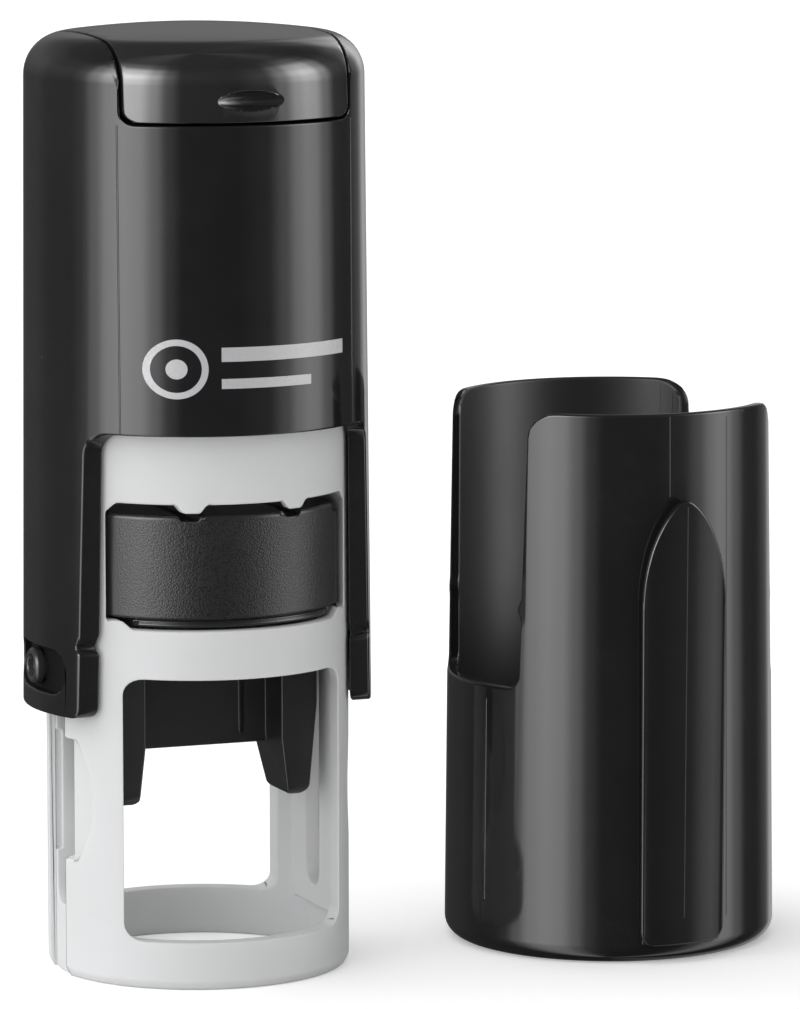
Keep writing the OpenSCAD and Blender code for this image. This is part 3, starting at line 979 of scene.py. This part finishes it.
def flank_channel(side):
    """The channel for the pin on one flank, with the deeper cam recess that opens off it."""
    low_x, high_x = sorted((side * 8.0, side * 14.0))
    channel = prism([(1.9, -1), (1.9, 26), (-1.8, 26), (-1.8, -1)], "x", low_x, high_x)
    channel = cut(channel, lathe([(0, -3), (CHANNEL_FLOOR_R, -3), (CHANNEL_FLOOR_R, 30), (0, 30)]))
    span = block((-CLEAR, -5.3, 8.65), (CLEAR, 1.9, 17.35))
    recess = common(prism(arc(1.8, 13, 6.7, 0, 355, 71), "x", low_x, high_x), span)
    recess = cut(recess, lathe([(0, -3), (CAM_FLOOR_R, -3), (CAM_FLOOR_R, 30), (0, 30)]))
    return joined(channel, recess)


def pin_slot():
    low, high, r = PIVOT_Z - 16.15, PIVOT_Z + 0.15, 1.35
    return prism(arc(0, high, r, 0, 180, 20) + arc(0, low, r, 180, 360, 20), "x", -CLEAR, CLEAR)


print("the pin's slot is", round(PIVOT_Z - 16.15, 2), "to", round(PIVOT_Z + 0.15, 2), "mm up")

# %% [markdown]
# The tube, its deck and the spring's boss are one outline. Flat cheeks are then joined on inside, a little
# further out at the foot, where the bore for the die is tighter. All the openings are cut last.

# %% Base frame
def make_frame():
    outline = [(0, 45), (3.1, 45), (3.3, 44.8), (3.3, DECK_Z), (FRAME_BORE_R, DECK_Z), (FRAME_BORE_R, 44),
               (10.4, 44), (FRAME_R, 43.5), (FRAME_R, 0.6), (10.55, 0), (FOOT_BORE_R, 0),
               (FOOT_BORE_R, 2.2), (FRAME_BORE_R, 6), (FRAME_BORE_R, 41.8), (0, 41.8)]
    tube = lathe(outline)
    core = [(0, 3.45), (10.1, 3.45), (10.1, 42.2), (0, 42.2)]
    foot = [(0, 0), (10.1, 0), (10.1, 3.6), (0, 3.6)]
    cheeks = [common(lathe(core), side) for side in both_sides(8.8, 3, 43)]
    cheeks += [common(lathe(foot), side) for side in both_sides(9.3, -1, 4)]
    tube = joined(tube, *cheeks)
    tube = cut(tube, low_window(), pad_window(), flank_channel(1), flank_channel(-1), pin_slot())
    return finished(tube, "frame_shell", "frame", frame_grey, ["base_frame"],
                    edge=0.15, segments=3, angle=30)


base = make_frame()

# %% [markdown]
# ## The ink tray and its felt
# The tray is a slice of a cylinder with flat sides, pushed in from the front until two tabs of the frame
# drop into its notches. A smooth lip runs under the grained face with a shallow groove between. The felt
# fills the underside. It is a padded piece, full and tight.

# %% Tray and felt
def make_tray():
    outline = [(0, 34), (10.2, 34), (10.4, 33.8), (10.4, 26.62), (10.15, 26.52), (10.1, 26.36), (10.3, 26.28),
               (10.3, 26.0), (8.3, 26.0), (8.3, 29), (7.7, 29), (7.7, 33), (0, 33)]
    tray = lathe(outline)
    sides = both_sides(8.75, 25, 35) + both_sides(7.3, 25, 26.6)
    notch = [(2.85, 35), (3.25, 33.6), (4.45, 33.6), (4.85, 35)]
    notches = [prism([(s * x, z) for x, z in notch], "y", -12, 12) for s in (1, -1)]
    tray = cut(tray, *sides, *notches, block((7.95, -12, 33.3), (12, 12, 35)))
    return finished(tray, "tray_shell", "frame", tray_black, ["ink_tray"], edge=0.13)


def make_felt():
    felt = lathe([(0, 29), (7.45, 29.0), (7.65, 29.2), (7.65, 32.95), (0, 32.95)], 96)
    thing = finished(felt, "felt_pad", "frame", ink_felt, ["ink_pad"], edge=0.1)
    return thing


tray = make_tray()
felt = make_felt()

# %% [markdown]
# ## The return spring
# A coil of wire between the frame's deck and the roof of the casing. A spin with a rise at each step draws
# the helix from one round of wire. It rides on the frame.

# %% Spring
def make_spring():
    high, r, wire, coils, per = 65.0, 4.1, 0.33, 7, 36
    bm = bmesh.new()
    upright = Matrix.Translation((r, 0, DECK_Z + wire)) @ Matrix.Rotation(math.radians(90), 4, "X")
    start = bmesh.ops.create_circle(bm, cap_ends=False, radius=wire, segments=14, matrix=upright)
    rise = (high - DECK_Z - 2 * wire) / (coils * per)
    edges = list(bm.edges)
    bmesh.ops.spin(bm, geom=start["verts"] + edges, cent=(0, 0, 0), axis=(0, 0, 1), dvec=(0, 0, rise),
                   angle=math.tau * coils, steps=coils * per)
    bmesh.ops.remove_doubles(bm, verts=bm.verts, dist=1e-4)
    bmesh.ops.holes_fill(bm, edges=[e for e in bm.edges if e.is_boundary], sides=20)
    tidy_mesh(bm)
    thing = finished(bm, "return_coil", "frame", spring_steel, ["return_spring"], edge=0)
    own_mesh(thing)
    return thing


spring = make_spring()

# %% [markdown]
# ## The die carrier
# A round head on two legs with a thin plate between them. The legs taper towards their tips and slant at
# the back, so that they clear the paper as the carrier turns over. Each outline is pushed through and the
# common part kept, which gives both tapers at once.

# %% Die carrier
def make_leg(side):
    low, top = 12.3, 26.0
    seen_from_side = arc(-2.8, low + 0.8, 0.8, 180, 270, 6)
    seen_from_side += [(0.9, low), (2.4, 15.5), (3.4, 19), (3.4, top), (-3.6, top)]
    seen_from_front = [(5.15, top), (5.15, 16.5), (5.6, low + 0.3), (5.9, low)]
    seen_from_front += arc(6.45, low + 0.9, 0.9, -90, 0, 6) + [(7.9, 19), (7.9, top)]
    front = prism([(side * x, z) for x, z in seen_from_front], "y", -10, 10)
    return common(prism(seen_from_side, "x", -10, 10), front)


def along_pin(outline, start):
    """A round shape on the pins' axis at each end of the carrier, pointing outwards from start."""
    return [moved(turned_to_x(lathe(outline, 48), s), Matrix.Translation((s * start, 0, PIVOT_Z)))
            for s in (1, -1)]


def make_carrier():
    head = lathe([(0, 24.6), (6.9, 24.6), (6.9, 26), (0, 26)], 96)
    body = joined(head, make_leg(1), make_leg(-1))
    plate = prism([(-0.3, 15.8), (0.9, 15.8), (1.2, 16.2), (1.2, 25), (-0.3, 25)], "x", -5.6, 5.6)
    hubs = along_pin([(0, 0), (2.4, 0), (2.4, 1.0), (2.25, 1.15), (0, 1.15)], 7.4)
    rib = prism([(3.1, 16.6), (3.35, 16.6), (3.35, 24.2), (3.1, 24.2)], "y", -0.45, 0.2)
    body = joined(body, plate, *hubs, rib)
    body = cut(body, *along_pin([(0, 0), (1.14, 0), (1.14, 6), (0, 6)], 5.95))
    return finished(body, "carrier_body", "carrier", carrier_black, ["die_carrier"],
                    edge=0.14)


carrier = make_carrier()

# %% [markdown]
# ## Pins, foam and die
# Two headed pins join the carrier to the casing's arms; each end is chamfered and dished. The foam lets the
# die press evenly. The die is a disc with a raised ring and three plain bars where lines of text would be.

# %% Pins, foam and die
def make_pin(side):
    end = 12.62
    outline = [(0, 5.97), (0.9, 5.97), (1.13, 6.2), (1.13, 11.9), (1.3, 11.95), (1.3, end - 0.2), (1.12, end),
               (0.86, end), (0.78, end - 0.12), (0.74, end - 0.5), (0, end - 0.55)]
    pin = moved(turned_to_x(lathe(outline, 64), side), Matrix.Translation((0, 0, PIVOT_Z)))
    return finished(pin, "axle_pin_" + ("right" if side > 0 else "left"), "carrier", pin_black,
                    ["axle_pins"], edge=0.04)


def make_foam():
    disc = lathe([(0, 26), (6.3, 26)] + arc(6.2, 26.6, 0.55, -70, 70, 6) + [(6.3, 27.2), (0, 27.2)], 96)
    thing = finished(disc, "foam_disc", "carrier", foam, ["die_foam"], edge=0)
    return thing


def make_die():
    die = lathe([(0, 28.0), (5.45, 28.0), (5.5, 28.7), (5.95, 28.7), (6.0, 27.2), (0, 27.2)], 96)
    bars = [block((-w / 2, y - 0.4, 27.6), (w / 2, y + 0.4, 28.7))
            for y, w in ((1.8, 5.4), (0, 7.6), (-1.8, 5.4))]
    die = joined(die, *bars)
    return finished(die, "rubber_face", "carrier", die_rubber, ["rubber_die"], edge=0.05)


pins = [make_pin(1), make_pin(-1)]
foam_disc = make_foam()
die = make_die()

# %% [markdown]
# ## The cap and its clip
# The cap is a deep cup with two side slots for the arms of the casing. The slots have round feet, a small
# catch part way up and flared mouths. The cup is spun and the slots are cut right through it. It is shaped
# on the stamp's axis and then set down beside it, turned a little.

# %% Cap
CAP_PLACE = Matrix.Translation((CAP_X, CAP_Y, 0)) @ Matrix.Rotation(math.radians(CAP_TURN), 4, "Z")
SLOT_Z, CAP_H = 19.8, 40.0
CAP_R, CAP_BORE_R, CAP_SEAT_R, CAP_ROUND = 12.12, 11.15, 11, 1.4


def slot_half(z):
    """Half the width of a slot, which widens a little towards its mouth."""
    return 6.15 + 0.4 * (z - SLOT_Z) / (CAP_H - SLOT_Z)


def slot_cutter():
    edge = arc(5.15, SLOT_Z + 1, 1, -90, 0, 8)
    catch = slot_half(25.6) - 0.25
    edge += [(slot_half(24.8), 24.8), (catch, 25.4), (catch, 25.8), (slot_half(26.4), 26.4)]
    edge += arc(8.45, CAP_H - 1.9, 1.9, 180, 90, 10) + [(8.45, CAP_H + 2)]
    return prism(mirrored_pair(edge), "x", -CLEAR, CLEAR)


def make_cap():
    outline = [(0, 0)] + arc(CAP_R - CAP_ROUND, CAP_ROUND, CAP_ROUND, -90, 0, 8)
    outline += [(11.72, CAP_H), (CAP_BORE_R, CAP_H), (CAP_BORE_R, 15), (CAP_SEAT_R, 14), (CAP_SEAT_R, 1.2),
                (0, 1.2)]
    shell = cut(lathe(outline), slot_cutter())
    return finished(shell, "cap_cup", "cap", cap_black, ["cap_shell"],
                    edge=0.2, segments=3, angle=20, place=CAP_PLACE)


cap = make_cap()

# %% [markdown]
# The clip is a strip of the same plastic round the front of the cap. It grows from a foot near the bottom
# and ends in a pointed arch. It starts as a flat plate with rounded edges, is sliced upright every 0.3 mm so
# that it can bend smoothly, and is then wrapped round the axis, as a strip is bent over a former. Its lower
# end leans in to meet the foot.

# %% Clip
CLIP_OUT, CLIP_IN, CLIP_THICK, CLIP_BEND_R = 13.2, 12.35, 0.85, 13.0
SLICE = 0.3


def clip_outline():
    half, top, arch = 3.35, 33.9, 8.0
    edge = arc(half - 1.1, 2.5, 1.1, -90, 0, 8)
    for i in range(19):
        down = min(1.0, (1 - i / 18) ** 1.6 + 0.004)
        edge.append((half * math.sin(math.radians(90) * down ** 0.66), top - arch * down))
    return mirrored_pair(edge)


def bent(bm, r):
    """A flat piece that faces -Y bent round the Z axis, its width measured at the radius r."""
    for i in range(-11, 12):
        everything = list(bm.verts) + list(bm.edges) + list(bm.faces)
        bmesh.ops.bisect_plane(bm, geom=everything, dist=1e-4, plane_co=(i * SLICE, 0, 0),
                               plane_no=(1, 0, 0))
    for vert in bm.verts:
        away, turn = -vert.co.y, vert.co.x / r
        vert.co.x, vert.co.y = away * math.sin(turn), -away * math.cos(turn)
    return bm


def make_clip():
    strip = rounded(prism(clip_outline(), "y", -CLIP_OUT, -CLIP_IN), 0.2, 3)
    for vert in strip.verts:
        toe = max(0.0, 3.3 - vert.co.z) / 1.9
        vert.co.y += 0.4 * toe * (-vert.co.y - CLIP_IN) / CLIP_THICK
    root = rounded(block((-3.2, -12.6, 1.5), (3.2, -12.14, 3.05)), 0.1)
    piece = bpy.data.meshes.new("root")
    root.to_mesh(piece)
    root.free()
    strip.from_mesh(piece)
    return finished(bent(strip, CLIP_BEND_R), "clip_strip", "cap", clip_black,
                    ["pocket_clip"], edge=0, place=CAP_PLACE)


clip = make_clip()

# %% [markdown]
# ## The floor
# A wide, near-white sheet. It isn't seen in reflections, because what the black plastic shows is the
# studio's own darkness below. For the camera alone it gives off a little light, which keeps it white.

# %% Floor
GLOW = 0.3


def make_floor():
    bm = bmesh.new()
    bmesh.ops.create_grid(bm, x_segments=8, y_segments=8, size=6.0)
    floor = raw_object(bm, "floor")
    material, tree, shader, where = new_finish("paper_white", (0.93, 0.93, 0.93), 0.9,
                                               Specular_IOR_Level=0.0)
    cloud = noise(tree, where, 3.0, 2.0)
    shade = mixed_colour(tree, cloud, (0.95, 0.95, 0.95), (0.93, 0.93, 0.93))
    link(tree, shade, shader.inputs["Base Color"])
    glow = tree.nodes.new("ShaderNodeEmission")
    glow.inputs["Strength"].default_value = GLOW
    both = tree.nodes.new("ShaderNodeAddShader")
    link(tree, shader.outputs[0], both.inputs[0])
    link(tree, glow.outputs[0], both.inputs[1])
    seen = tree.nodes.new("ShaderNodeMixShader")
    link(tree, tree.nodes.new("ShaderNodeLightPath").outputs["Is Camera Ray"], seen.inputs[0])
    link(tree, shader.outputs[0], seen.inputs[1])
    link(tree, both.outputs[0], seen.inputs[2])
    link(tree, seen.outputs[0], tree.nodes["Material Output"].inputs["Surface"])
    floor.data.materials.append(material)
    floor.visible_glossy = False
    return floor


floor = make_floor()
print("floor laid")
